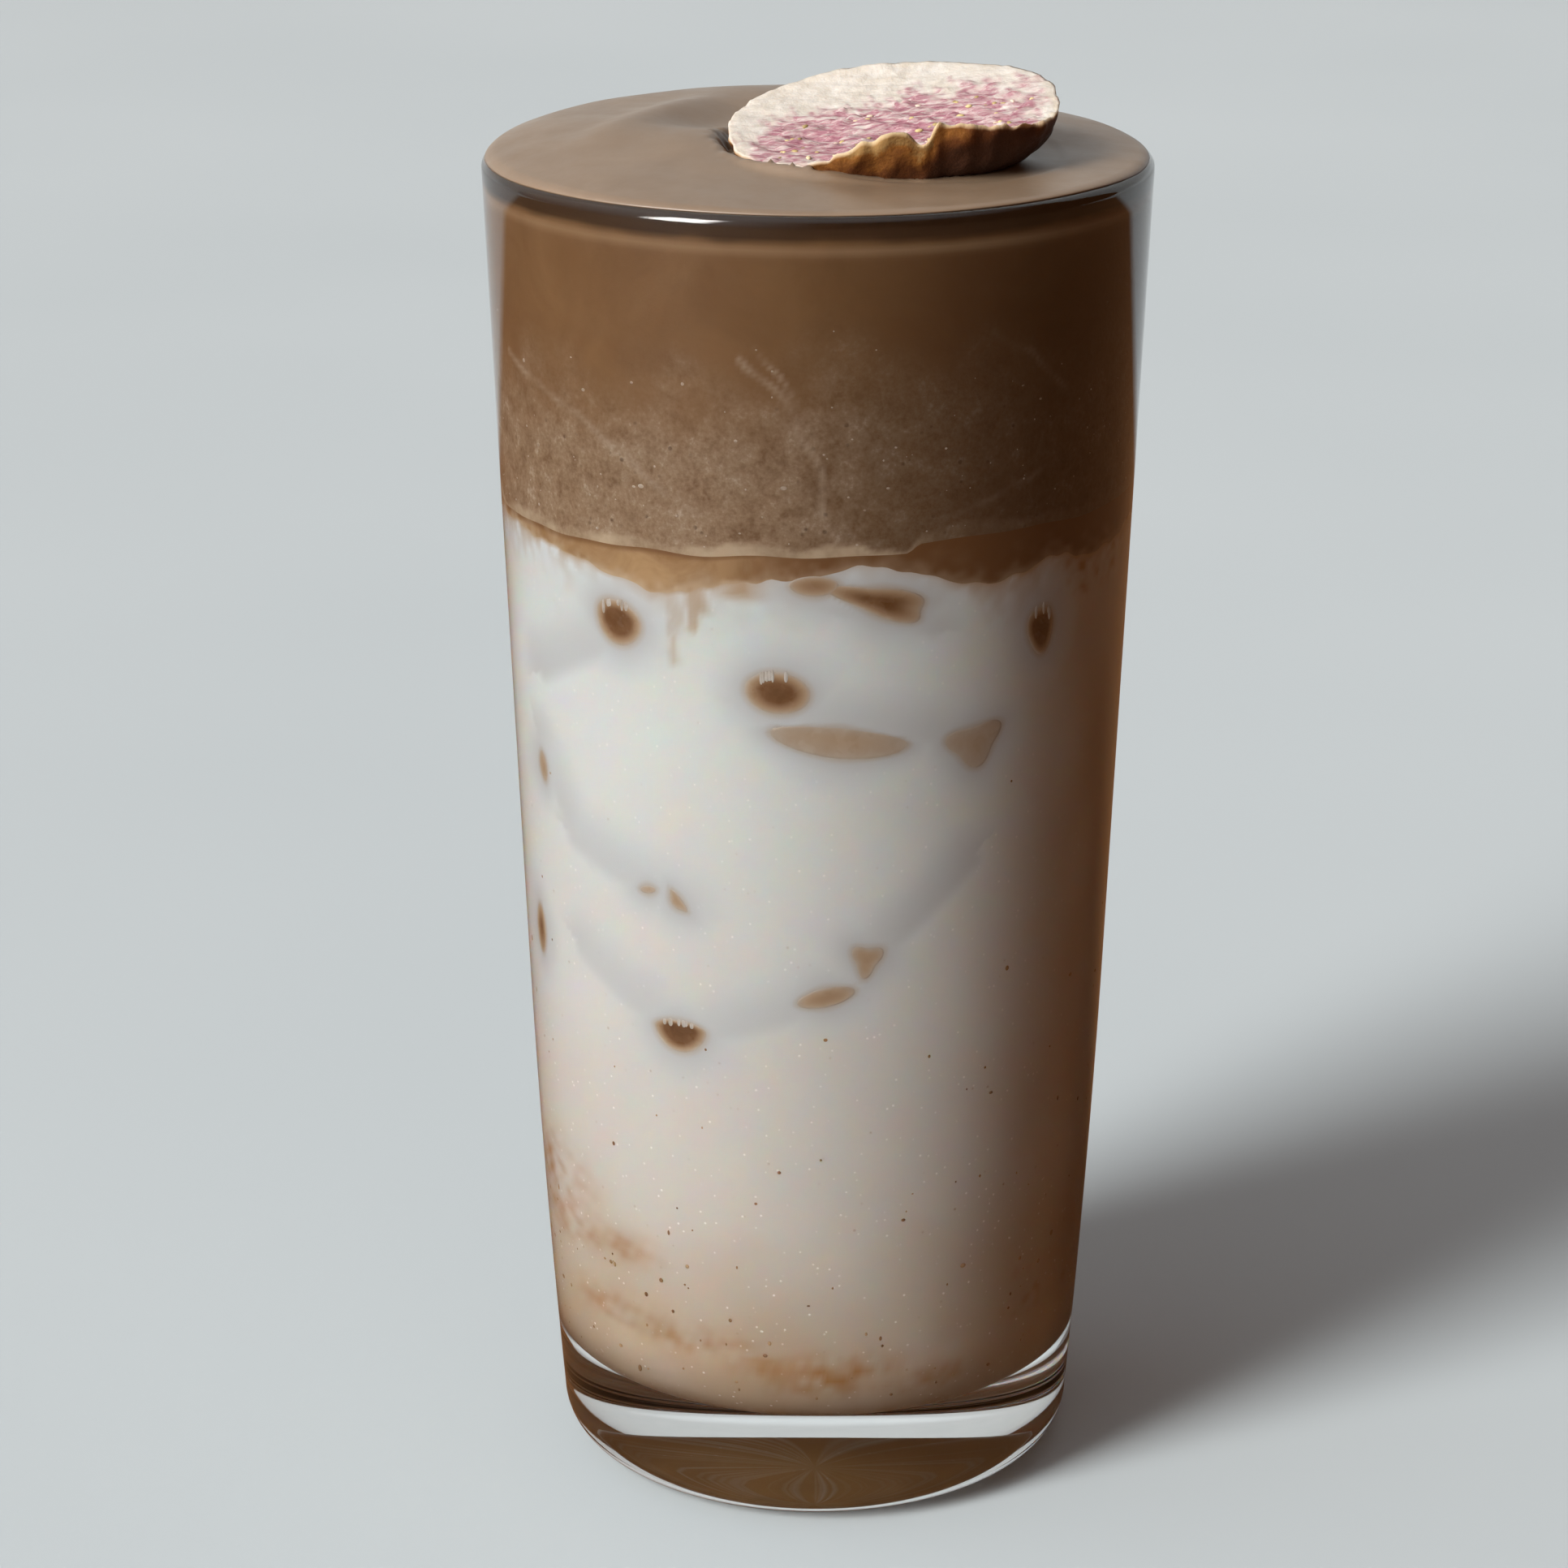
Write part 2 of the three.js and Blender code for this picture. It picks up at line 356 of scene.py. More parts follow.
def reckon(operation, *values):
    return add("Math", dict(enumerate(values)), operation=operation).outputs[0]


def times(first, second):
    return reckon("MULTIPLY", first, second)


def plus(first, second):
    return reckon("ADD", first, second)


def ramp(value, stops):
    """Colours along a value from 0 to 1."""
    made = add("ValToRGB", {0: value})
    strip = made.color_ramp.elements
    while len(strip) < len(stops):
        strip.new(1.0)
    for mark, (spot, colour) in zip(strip, stops):
        mark.position = spot
        mark.color = (*colour, 1)
    return made.outputs[0]


def blend(share, first, second):
    """From the first colour to the second by a share."""
    inputs = {0: share}
    for slot, colour in ((6, first), (7, second)):
        is_output = isinstance(colour, bpy.types.NodeSocket)
        inputs[slot] = colour if is_output else (*colour, 1)
    return add("Mix", inputs, data_type="RGBA").outputs[2]


def grain(size, detail=3.0, rough=0.55, twist=0.0, spot=None):
    """Noise whose lumps are about a size in millimetres across."""
    return add("TexNoise", {
        "Vector": where() if spot is None else spot,
        "Scale": 1 / (size * MM),
        "Detail": detail,
        "Roughness": rough,
        "Distortion": twist,
    }).outputs[0]


def cells(size):
    """Distance to the nearest of scattered points about a size in millimetres apart."""
    inputs = {"Vector": where(), "Scale": 1 / (size * MM)}
    return add("TexVoronoi", inputs, feature="F1").outputs[0]


def bump(height, reach, strength=1.0):
    """Normal from a height whose full range is a reach in millimetres."""
    inputs = {"Height": height, "Distance": reach * MM, "Strength": strength}
    return add("Bump", inputs).outputs[0]


# Glass


def heel_share(height):
    return np.clip((HEEL_HEIGHT - height) / HEEL_HEIGHT, 0, None)


def outer_radius(height):
    """A straight taper, less a tuck that grows with the square of the depth below the heel."""
    taper = TAPER_FOOT_RADIUS + (RIM_RADIUS - TAPER_FOOT_RADIUS) * height / GLASS_HEIGHT
    return taper - HEEL_TUCK * heel_share(height) ** 2


def inner_radius(height):
    return outer_radius(height) - WALL_AT_RIM - WALL_GAIN_AT_FOOT * heel_share(height)


def fill_radius(height):
    return inner_radius(height) + WALL_BITE


LIP_CENTRE = outer_radius(LIP_HEIGHT) - LIP_ROUND


def corner(centre_radius, centre_height, radius, first, last, steps=14):
    """A round corner between two directions in degrees, as radius and height."""
    turn = np.radians(np.linspace(first, last, steps))
    return np.stack([centre_radius + radius * np.cos(turn), centre_height + radius * np.sin(turn)], axis=-1)


def turned(profile, count):
    """A profile of radius and height carried round the axis."""
    return place(profile[:, :1], around(count)[None], profile[:, 1:])


def glass_profile():
    """Punt, foot, outer side, lip, inner side and floor, from the axis back to the axis."""
    share = np.linspace(0, 1, 16)
    punt = np.stack([share * PUNT_RADIUS, PUNT_DEPTH * (1 - share**2)], axis=-1)
    floor_corner = BASE_THICKNESS + INSIDE_ROUND
    rise = np.linspace(FOOT_ROUND, LIP_HEIGHT, 60)[1:-1]
    fall = np.linspace(LIP_HEIGHT, floor_corner, 60)[1:-1]
    return np.concatenate([
        punt,
        corner(outer_radius(FOOT_ROUND) - FOOT_ROUND, FOOT_ROUND, FOOT_ROUND, -90, 0),
        np.stack([outer_radius(rise), rise], axis=-1),
        corner(LIP_CENTRE, LIP_HEIGHT, LIP_ROUND, 0, 180, 17),
        np.stack([inner_radius(fall), fall], axis=-1),
        corner(inner_radius(floor_corner) - INSIDE_ROUND, floor_corner, INSIDE_ROUND, 0, -90),
        np.array([[12, BASE_THICKNESS], [0, BASE_THICKNESS]]),
    ])


def glass_finish():
    return {
        "Base Color": (0.97, 0.985, 0.985, 1),
        "Roughness": 0.0,
        "IOR": 1.5,
        "Transmission Weight": 1.0,
    }


# Milk, ice and tea


def tea_underside(angle):
    """Lower edge of the tea at the wall: a cosine with four lobes, raised where the milk climbs to the
    foam, with a ragged edge."""
    turn = np.degrees(wrapped(angle))
    climb = 1.5 * hump(turn, -52, 13) + 1.2 * hump(turn, 11, 7) + 1.8 * hump(turn, 49, 8)
    climb = climb - 0.7 * hump(turn, -27, 6) - 0.5 * hump(turn, 30, 7)
    ragged = 0.33 * ripple(place(30, angle, 0), 5, 12, 1.6)
    return TEA_UNDERSIDE + TEA_LOBE_DEPTH * np.cos(TEA_LOBES * (angle - TEA_LOBE_ANGLE)) + climb + ragged


def foam_underside(angle):
    """Lower edge of the foam at the wall: a sine, with a short step right of the front."""
    turn = np.degrees(wrapped(angle))
    step = 0.9 * smooth(16, 19, turn) * (1 - smooth(24, 60, turn))
    ragged = 0.18 * ripple(place(30, angle, 0), 6, 30, 6)
    return FOAM_UNDERSIDE + FOAM_SLANT * np.sin(angle + FOAM_SLANT_ANGLE) + step + ragged


def with_back(rows, turned_columns, flipped_columns, roll_columns):
    """The rows and their copies for the unseen side, turned half round and upside down."""
    front = np.array(rows, float)
    back = front.copy()
    back[:, turned_columns] += 180
    back[:, flipped_columns] = ICE_MIRROR_HEIGHT - back[:, flipped_columns]
    back[:, roll_columns] *= -1
    return np.concatenate([front, back])


ICE_ALL_SPOTS = with_back(ICE_SPOTS, [0], [1], [4])
ICE_ALL_EDGES = with_back(ICE_EDGES, [0, 2], [1, 3], [])


def spot_share(along, over, flat, corner_share):
    """Distance from the middle of an ice face as a share of the distance to its outline: an ellipse, less
    high above its middle, with three corners where the cosine of three times the turn is least."""
    turn = np.arctan2(over, along)
    share = np.hypot(along, np.where(over > 0, flat * over, over))
    return share * (1 - corner_share * np.cos(3 * (turn + np.pi / 2)))


def spot_depth(share, away, press):
    """Depth of milk over one ice face: press * (share^2 - 1) inside its outline, where share is 1, and
    outside it a slope times the distance to the outline along the line from its middle."""
    outside = ICE_SLOPE * away * (1 - 1 / np.clip(share, 1, None))
    return np.where(share < 1, press * (share**2 - 1), outside)


def off_line(across, up, length, rise):
    """Sideways and upward distance from the nearest point of a line that runs from the origin by a
    length and a rise."""
    share = np.clip((across * length + up * rise) / (length**2 + rise**2), 0, 1)
    return across - share * length, up - share * rise


def ice_depth(angle, height):
    """Depth of milk over the ice at a place on the wall, negative where the ice presses on it, as the
    least that the spots and edges give. An edge gives its depth and the square of the distance to a
    line over its width, which is a third as much below the line."""
    depth = np.full(np.broadcast_shapes(angle.shape, height.shape), 9.0)
    for turn, level, half_length, half_height, roll, press, flat, corner_share in ICE_ALL_SPOTS:
        across = fill_radius(height) * wrapped(angle - np.radians(turn))
        up = height - level
        lean = np.radians(roll)
        along = (across * np.cos(lean) + up * np.sin(lean)) / half_length
        over = (up * np.cos(lean) - across * np.sin(lean)) / half_height
        share = spot_share(along, over, flat, corner_share)
        depth = np.minimum(depth, spot_depth(share, np.hypot(across, up), press))
    for first, first_height, last, last_height, cover, width in ICE_ALL_EDGES:
        length = WALL_RADIUS * np.radians(last - first)
        rise = last_height - first_height
        across = fill_radius(height) * wrapped(angle - np.radians(first))
        aside, above = off_line(across, height - first_height, length, rise)
        side_width = width * np.where(above * length > aside * rise, 1, 0.35)
        depth = np.minimum(depth, cover + (aside**2 + above**2) / side_width**2)
    return depth


def tea_share(angle, height):
    """Share of tea in the milk at the wall: it dies away below the tea's edge, and runs down in drips."""
    points = place(WALL_RADIUS, angle, height)
    below = np.clip(tea_underside(angle) - height, 0, None)
    share = 0.8 * np.exp(-below / (0.95 + 0.75 * ripple(points, 8, 10, 1.3)).clip(0.15))
    for turn, tip, width, strength in TEA_DRIPS:
        column = hump(np.degrees(wrapped(angle)), turn + 0.7 * ripple(points, 9, 8, 2.0), width)
        share = np.maximum(share, strength * column * smooth(tip - 0.5, tip + 0.9, height))
    return np.clip(share, 0, 1)


def stain_and_right_shade(angle, height):
    """Share of syrup and tea dust at the wall: bell curves with a ragged edge and a ring at the foot, and
    painted shade: brown milk all the way up on the right, the side away from the window."""
    points = place(WALL_RADIUS, angle, height)
    share = 0.95 * np.exp(-np.clip(height - BASE_THICKNESS, 0, None) / 0.9)
    for turn, level, half_length, half_height, strength in STAINS:
        for half_turn in (0, 180):
            across = fill_radius(height) * wrapped(angle - np.radians(turn + half_turn)) / half_length
            bell = np.exp(-(across**2) - ((height - level) / half_height) ** 2)
            share = np.maximum(share, strength * bell)
    ragged = share * (1 + 0.6 * ripple(points, 12, 14, 1.4))
    # painted shade: warm brown milk on the right, away from the window
    brown = 0.5 * hump(np.degrees(wrapped(angle)), 70, 29) * (1 + 0.15 * ripple(points, 13, 40, 8))
    return np.clip(np.maximum(ragged, brown), 0, 1)


def cap(edge_height, middle_height, shares):
    """Rings from the wall to the axis: the height runs straight from the edge to the middle."""
    height = middle_height + (edge_height[None] - middle_height) * shares[:, None]
    return place(shares[:, None] * fill_radius(edge_height)[None], around(ROUND)[None], height)


def milk_rings():
    """Floor, round corner and side of the milk up to the tea's edge, then a lid under the tea."""
    angle = around(ROUND)
    low = BASE_THICKNESS - WALL_BITE
    corner_height = BASE_THICKNESS + INSIDE_ROUND
    bend = corner(fill_radius(corner_height) - INSIDE_ROUND, corner_height, corner_height - low, -90, 0, 12)
    bottom = np.concatenate([np.linspace([0, low], bend[0], 8)[:-1], bend])
    share = np.linspace(0, 1, 176)[1:, None]
    height = corner_height + (tea_underside(angle)[None] - corner_height) * share
    side = place(fill_radius(height), angle[None], height)
    lid = cap(tea_underside(angle), TEA_UNDERSIDE - 0.4, np.array([0.75, 0.4, 0.0]))
    return np.concatenate([turned(bottom, ROUND), side, lid])


def wall_place(rings):
    """Angle and height of each point."""
    return np.arctan2(rings[..., 0], -rings[..., 1]), rings[..., 2]


def ice_stacks():
    """Faces of ice cubes that press on the wall: rings of an ellipse round each spot, from a point
    deep in the milk to the reach of the spot and in again to its middle, at the depth under the wall
    that the spot's formula gives."""
    turn = around(64)[None, None]
    reach = np.concatenate([[0, 0.6, 1], np.linspace(1, 0, 30)[1:]])[None, :, None] * ICE_REACH
    behind = np.concatenate([[ICE_DEPTH, ICE_DEPTH, 0.75 * ICE_DEPTH], np.zeros(29)])[None, :, None]
    spots = ICE_ALL_SPOTS[:, :, None, None]
    middle, level, half_length, half_height, roll, press, flat, corner_share = np.moveaxis(spots, 1, 0)
    lean = np.radians(roll)
    right, up = reach * np.cos(turn), reach * np.sin(turn)
    along, over = half_length * right, half_height * up
    height = level + along * np.sin(lean) + over * np.cos(lean)
    angle = np.radians(middle) + (along * np.cos(lean) - over * np.sin(lean)) / fill_radius(height)
    depth = spot_depth(spot_share(right, up, flat, corner_share), np.hypot(along, over), press)
    radius = fill_radius(height) + FLUSH - np.where(behind > 0, behind, np.clip(depth, 0, None))
    return place(radius, angle, height), depth


def milk_base():
    """Milk is whiter and cooler near the top, and beige towards the bottom where tea dust settles."""
    level = stretch(height_in_mm(), 14, 112)
    cloud = stretch(grain(22, 2), 0.3, 0.7, -0.05, 0.05)
    return ramp(plus(level, cloud), (
        (0, (0.50, 0.39, 0.28)),
        (0.1, (0.58, 0.51, 0.425)),
        (0.24, (0.66, 0.64, 0.605)),
        (0.5, (0.70, 0.705, 0.695)),
        (0.8, (0.72, 0.755, 0.755)),
        (1, (0.73, 0.775, 0.79)),
    ))


def over_ice(colour):
    """Thin milk over ice looks blue and grey, and where the ice presses on the wall the tea-dark
    inside of the drink shows."""
    depth = number("ice_depth")
    tone = ramp(stretch(depth, -1.0, 2.0), (
        (0, (0.11, 0.045, 0.016)),
        (0.13, (0.155, 0.07, 0.028)),
        (0.22, (0.33, 0.21, 0.125)),
        (0.285, (0.43, 0.315, 0.215)),
        (0.33, (0.46, 0.385, 0.31)),
        (0.375, (0.49, 0.455, 0.42)),
        (0.45, (0.54, 0.555, 0.565)),
        (1, (0.66, 0.70, 0.725)),
    ))
    return blend(stretch(depth, 0.15, 2.0, 1.0, 0.0), colour, tone)


def specks(colour):
    """Fine brown tea dust, more of it low down, and pale points of fat."""
    patch = stretch(grain(3.1, 2), 0.5, 0.68)
    dust = times(stretch(cells(1.7), 0.13, 0.05), patch)
    level = stretch(height_in_mm(), 20, 95, 0.75, 0.15)
    dusted = blend(times(dust, level), colour, (0.30, 0.17, 0.08))
    patch = stretch(grain(2.4, 2), 0.42, 0.56)
    fat = times(stretch(cells(1.1), 0.16, 0.08), patch)
    low = stretch(height_in_mm(), 40, 105, 0.9, 0.4)
    return blend(times(fat, low), dusted, (0.97, 0.96, 0.94))


def milk_finish():
    colour = specks(milk_base())
    # syrup and tea dust, and the painted brown shade on the right
    stain_and_shade = blend(number("stain_and_shade"), colour, (0.40, 0.22, 0.09))
    seep = blend(number("tea"), stain_and_shade, (0.42, 0.265, 0.135))
    return {
        "Base Color": over_ice(seep),
        "Roughness": stretch(grain(4), 0.3, 0.7, 0.35, 0.5),
        "Specular IOR Level": 0.1,
        "Subsurface Weight": number("deep"),
        "Subsurface Radius": (1.0, 0.5, 0.26),
        "Subsurface Scale": 9 * MM,
    }


def ice_finish():
    streak = stretch(grain(1.6, 4, 0.6, 0.6), 0.35, 0.7, 0.0, 0.22)
    colour = blend(streak, over_ice((0.7, 0.7, 0.69)), (0.36, 0.22, 0.12))
    return {
        "Base Color": colour,
        "Roughness": stretch(grain(3), 0.3, 0.7, 0.2, 0.35),
        "Specular IOR Level": 0.2,
    }


def tea_rings():
    """Side of the tea between its own edge and the foam's, closed by two flat cones inside."""
    angle = around(ROUND)
    low = tea_underside(angle)
    high = foam_underside(angle)
    share = np.linspace(0, 1, 22)[:, None]
    height = low[None] + (high - low)[None] * share
    side = place(fill_radius(height), angle[None], height)
    middle = np.array([0.0, 0.4, 0.75])
    under = cap(low, TEA_UNDERSIDE + 1.2, middle)
    over = cap(high, TEA_UNDERSIDE + 2.0, middle[::-1])
    return np.concatenate([under, side, over])


def tea_finish():
    cloud = stretch(grain(5, 4, 0.6, 0.8), 0.35, 0.68)
    golden = blend(cloud, (0.31, 0.175, 0.078), (0.45, 0.285, 0.145))
    # painted shade: dark brown tea under the foam and on the right
    tea_painted_shade = blend(number("tea_painted_shade"), golden, (0.17, 0.078, 0.031))
    return {
        "Base Color": blend(number("milk"), tea_painted_shade, (0.56, 0.43, 0.30)),
        "Roughness": stretch(grain(3), 0.3, 0.7, 0.35, 0.5),
        "Specular IOR Level": 0.1,
    }


# Fig slice


def turn_about(axis, angle):
    """Matrix that turns about axis 0, 1 or 2, one for each angle. Turned about the upright axis by an
    angle round the glass, its columns point along the wall, inwards and up."""
    first, second = (axis + 1) % 3, (axis + 2) % 3
    matrix = np.zeros((*np.shape(angle), 3, 3))
    matrix[..., axis, axis] = 1
    matrix[..., first, first] = matrix[..., second, second] = np.cos(angle)
    matrix[..., second, first] = np.sin(angle)
    matrix[..., first, second] = -np.sin(angle)
    return matrix


FIG_TURN = turn_about(2, FIG_YAW) @ turn_about(0, FIG_TILT) @ turn_about(1, -FIG_LIFT)


def fig_outline(angle):
    """A superellipse."""
    along = np.abs(np.sin(angle)) / FIG_HALF_LENGTH
    across = np.abs(np.cos(angle)) / FIG_HALF_WIDTH
    return (along**FIG_SQUARENESS + across**FIG_SQUARENESS) ** (-1 / FIG_SQUARENESS)


def fig_rim(angle):
    """Height of the rim: bell curves along the slice for the near and the far side, and a notch."""
    along = fig_outline(angle) * np.sin(angle)
    near = np.clip(np.cos(angle), 0, None) ** 2
    far = np.clip(-np.cos(angle), 0, None) ** 2
    curl = FIG_CURL * hump(along, FIG_CURL_CENTRE, FIG_CURL_SPREAD) * smooth(-19, -3, along)
    notch = FIG_NOTCH_DEPTH * hump(wrapped(angle), FIG_NOTCH_ANGLE, FIG_NOTCH_SPREAD)
    return (curl - notch) * near + FIG_FAR_RISE * hump(along, FIG_FAR_CENTRE, FIG_FAR_SPREAD) * far


def fig_skin(angle, share):
    """Height of the skin under a share of the outline: a bowl with steep sides, where the sine of the
    turn is the root of 1 - share^4."""
    down = np.sqrt(np.clip(1 - share**4, 0, None))
    return fig_rim(angle) * (1 - down) - FIG_DEPTH * down


def fig_pulp(along, across):
    """Share of pink pulp on the cut face: a superellipse on the near side with a ragged edge."""
    points = np.stack([along, across, np.zeros_like(along)], axis=-1)
    edge = 0.15 * ripple(points * [1.6, 0.5, 1], 31, 9, 1.2) + 0.08 * ripple(points, 32, 3, 0.8)
    lengthwise = np.abs((along - 0.2) / 16.2) ** 3
    crosswise = np.abs((across + 3.6) / (10.2 + 0.1 * along)) ** 3
    reach = (lengthwise + crosswise) ** (1 / 3)
    return smooth(1.15, 0.74, reach + edge)


def fig_rings():
    """Skin of the slice from its lowest point to the rim, then the cut face to its middle. The rim is
    ruffled, and the face is pleated towards the middle and lumpy in the pulp."""
    angle = around(FIG_ROUND)[None]
    turned_by = np.degrees(wrapped(angle))
    rim_places = place(12, angle, 0)
    ruffle = 0.45 * ripple(rim_places, 33, 14, 5, 10) + 0.55 * ripple(rim_places, 38, 3.5, 0.9)
    near = np.clip(np.cos(angle), 0, None)
    outline = fig_outline(angle) + 0.24 * ripple(rim_places, 34, 30, 2.2) + 0.25 * ruffle * near
    rim = fig_rim(angle) + (0.05 + 0.5 * near) * ruffle
    turn = np.radians(np.linspace(90, 4, 26))[:, None]
    dent = 0.18 * ripple(place(12, angle, 6 * turn), 35, 8, 1.5) * np.cos(turn)
    skin_height = rim * (1 - np.sin(turn)) - FIG_DEPTH * np.sin(turn)
    skin = place(np.sqrt(np.cos(turn)) * outline + dent, angle, skin_height)
    share = np.concatenate([[1.0, 0.985], np.linspace(0.965, 0, 60)])[:, None]
    face_height = rim * share**FIG_RIM_POWER - FIG_DISH * (1 - share**2)
    face = place(share * outline, angle, face_height)
    flat = face * [1, 1, 0]
    pleat = ripple(place(6, angle, 2.5 * share), 36, 4, 0.9)
    pleat = pleat * smooth(0.1, 0.7, share) * smooth(1.0, 0.9, share)
    lump = ripple(flat * [0.5, 1.2, 1], 37, 2.6, 0.8)
    pulp = fig_pulp(flat[..., 0], flat[..., 1])
    relief = (0.05 * pleat + 0.07 * lump) * (1 - pulp) + 0.2 * lump * pulp
    face[..., 2] += relief + 0.10 * smooth(0.99, 0.95, share)
    torn = smooth(0.94, 0.98, share + 0.03 * ruffle)
    border = torn * (0.1 + 0.9 * near * smooth(-14, -4, flat[..., 0]))
    darker = 0.22 - 0.4 * hump(turned_by, -8, 26) + 0.15 * smooth(20, 45, turned_by)

    def both(on_skin, on_face):
        """Values on the skin, then on the cut face."""
        spread = ((on_skin, skin), (on_face, face))
        return np.concatenate([np.broadcast_to(value, part.shape[:2]) for value, part in spread])

    values = {
        "skin": both(1, 0),
        "skin_depth": both(np.sin(turn), 0),
        "pulp": both(0, pulp * (1 - border)),
        "border": both(1, border),
        "skin_shade": both(darker, 0),
    }
    return np.concatenate([skin, face]) @ FIG_TURN.T + FIG_CENTRE, values


def fig_finish():
    squeezed = add("Mapping", {"Vector": where(), "Scale": (0.34, 1.4, 1.4)}).outputs[0]
    fibre = grain(0.8, 5.0, 0.68, 0.7, squeezed)
    patch = stretch(grain(2.4, 4, 0.6, 0.5), 0.35, 0.65)
    flesh = blend(patch, (0.475, 0.43, 0.37), (0.535, 0.50, 0.455))
    pink = ramp(stretch(fibre, 0.3, 0.72), (
        (0, (0.17, 0.05, 0.07)),
        (0.3, (0.28, 0.115, 0.145)),
        (0.5, (0.38, 0.22, 0.235)),
        (0.68, (0.47, 0.37, 0.355)),
        (1, (0.535, 0.50, 0.455)),
    ))
    face = blend(number("pulp"), flesh, pink)
    rim = blend(number("border"), face, (0.52, 0.40, 0.24))
    in_pulp = times(fibre, number("pulp"))
    beside_pulp = times(grain(1.1, 4, 0.6), stretch(number("pulp"), 0, 1, 0.7, 0.0))
    relief = plus(in_pulp, beside_pulp)
    tone = stretch(grain(3.0, 4, 0.6, 0.4), 0.3, 0.7, -0.14, 0.14)
    shade = plus(plus(number("skin_depth"), tone), number("skin_shade"))
    peel = ramp(shade, (
        (0, (0.29, 0.165, 0.055)),
        (0.1, (0.24, 0.092, 0.015)),
        (0.3, (0.11, 0.032, 0.005)),
        (0.52, (0.06, 0.018, 0.005)),
        (1, (0.035, 0.012, 0.005)),
    ))
    return {
        "Base Color": blend(number("skin"), rim, peel),
        "Roughness": stretch(fibre, 0.3, 0.7, 0.55, 0.8),
        "Specular IOR Level": 0.3,
        "Subsurface Weight": 0.15,
        "Subsurface Radius": (1.0, 0.6, 0.4),
        "Subsurface Scale": 0.8 * MM,
        "Normal": bump(relief, 0.35, 0.8),
    }


def blob_stacks(centres, sizes, frames):
    """Small ellipsoids: rings of latitude scaled by three half sizes, turned and put at their centres."""
    turn = around(BLOB_ROUND)[None, None]
    lift = np.radians(np.linspace(-90, 90, BLOB_RINGS))[None, :, None]
    scaled = place(np.cos(lift), turn, np.sin(lift)) * sizes[:, None, None, :]
    return np.einsum("nij,nabj->nabi", frames, scaled) + centres[:, None, None, :]


def blob_tints(draw, count):
    """A random number from 0 to 1 for each blob, at all of its points."""
    return np.broadcast_to(draw.uniform(0, 1, count)[:, None, None], (count, BLOB_RINGS, BLOB_ROUND))


def fig_seed_stacks():
    """Seeds scattered in the pulp, half sunk in the cut face and lying any way round."""
    draw = np.random.default_rng(41)
    along = draw.uniform(-14, 15, 500)
    across = draw.uniform(-11, 4, 500)
    kept = fig_pulp(along, across) > 0.6
    along, across = along[kept][:70], across[kept][:70]
    angle = np.arctan2(along, -across)
    share = np.hypot(along, across) / fig_outline(angle)
    kept = share < 0.9
    along, across, angle, share = along[kept], across[kept], angle[kept], share[kept]
    height = fig_rim(angle) * share**FIG_RIM_POWER - FIG_DISH * (1 - share**2)
    lump = ripple(np.stack([0.5 * along, 1.2 * across, np.zeros_like(along)], axis=-1), 37, 2.6, 0.8)
    count = len(along)
    local = np.stack([along, across, height + 0.22 * lump], axis=-1)
    sizes = np.stack([draw.uniform(least, most, count) for least, most in SEED_HALF_SIZES], axis=-1)
    spin = draw.uniform(0, 2 * np.pi, count)
    frames = FIG_TURN @ turn_about(2, spin)
    return blob_stacks(local @ FIG_TURN.T + FIG_CENTRE, sizes, frames), blob_tints(draw, count)


def seed_finish():
    colour = ramp(number("tint"), (
        (0, (0.20, 0.14, 0.05)),
        (0.4, (0.40, 0.30, 0.12)),
        (0.75, (0.55, 0.44, 0.22)),
        (1, (0.62, 0.50, 0.42)),
    ))
    return {"Base Color": colour, "Roughness": 0.5, "Specular IOR Level": 0.4}


# Foam

# How far light sinks into it
FOAM_GLOW = {
    "Subsurface Weight": 0.12,
    "Subsurface Radius": (1.0, 0.6, 0.35),
    "Subsurface Scale": 0.8 * MM,
}


def foam_dome(right, back, share):
    """Top of the foam: a flat dome that leans back and left, with one swell, soft folds, and a slanting
    ridge with a hollow beside it."""
    dome = DOME_RISE + DOME_LEAN_BACK * back - DOME_LEAN_LEFT * right
    away = np.hypot(right - SWELL_CENTRE[0], back - SWELL_CENTRE[1]) / SWELL_SPREAD
    swell = SWELL_RISE * np.exp(-0.5 * away**2)
    flat = np.stack([right, back, np.zeros_like(right)], axis=-1)
    fold = 0.16 * ripple(flat, 51, 30, 11, 12)
    slant = 0.9 * (right + 18) - 0.43 * (back - 3)
    ridge = 1.1 * hump(slant, 0, 3.0) * hump(back, 4, 11) - 0.8 * hump(slant, 6.8, 3.0) * hump(back, 6, 10)
    return GLASS_HEIGHT + FOAM_EDGE + (dome + swell + fold + ridge) * (1 - share**DOME_POWER)


def foam_seat(points):
    """The foam where the fig slice lies in it. In the slice's own frame the foam stays under the
    skin, climbs it a little where they meet, laps over the near left rim, and falls away in a pit at
    the left end."""
    local = (points - FIG_CENTRE) @ FIG_TURN
    along, across, height = np.moveaxis(local, -1, 0)
    angle = np.arctan2(along, -across)
    outline = fig_outline(angle)
    share = np.hypot(along, across) / outline
    skin = np.where(share < 1, fig_skin(angle, np.clip(share, 0, 1)), 9.0)
    beside = np.clip(share - 1, 0, None) * outline
    left = hump(wrapped(angle + np.radians(104)), 0, 0.6)
    cover = hump(wrapped(angle + np.radians(50)), 0, 0.5) * hump(share * outline, outline, 1.2)
    crumple = ripple(points, 58, 3, 0.9)
    pit = (2.2 * left + 0.2) * hump(beside, 0, 0.5 + 0.6 * left)
    pit = pit + 0.3 * left * crumple * hump(beside, 0, 1.6)
    climb = 0.4 * hump(skin, height, 0.9) * (skin > height) * (share < 1)
    ceiling = skin - 0.03 + 4 * cover
    lowered = np.where(share < 1, np.minimum(height + climb - pit, ceiling), height - pit) + 1.2 * cover
    local = np.stack([along, across, np.where(share < 1.8, lowered, height)], axis=-1)
    return local @ FIG_TURN.T + FIG_CENTRE


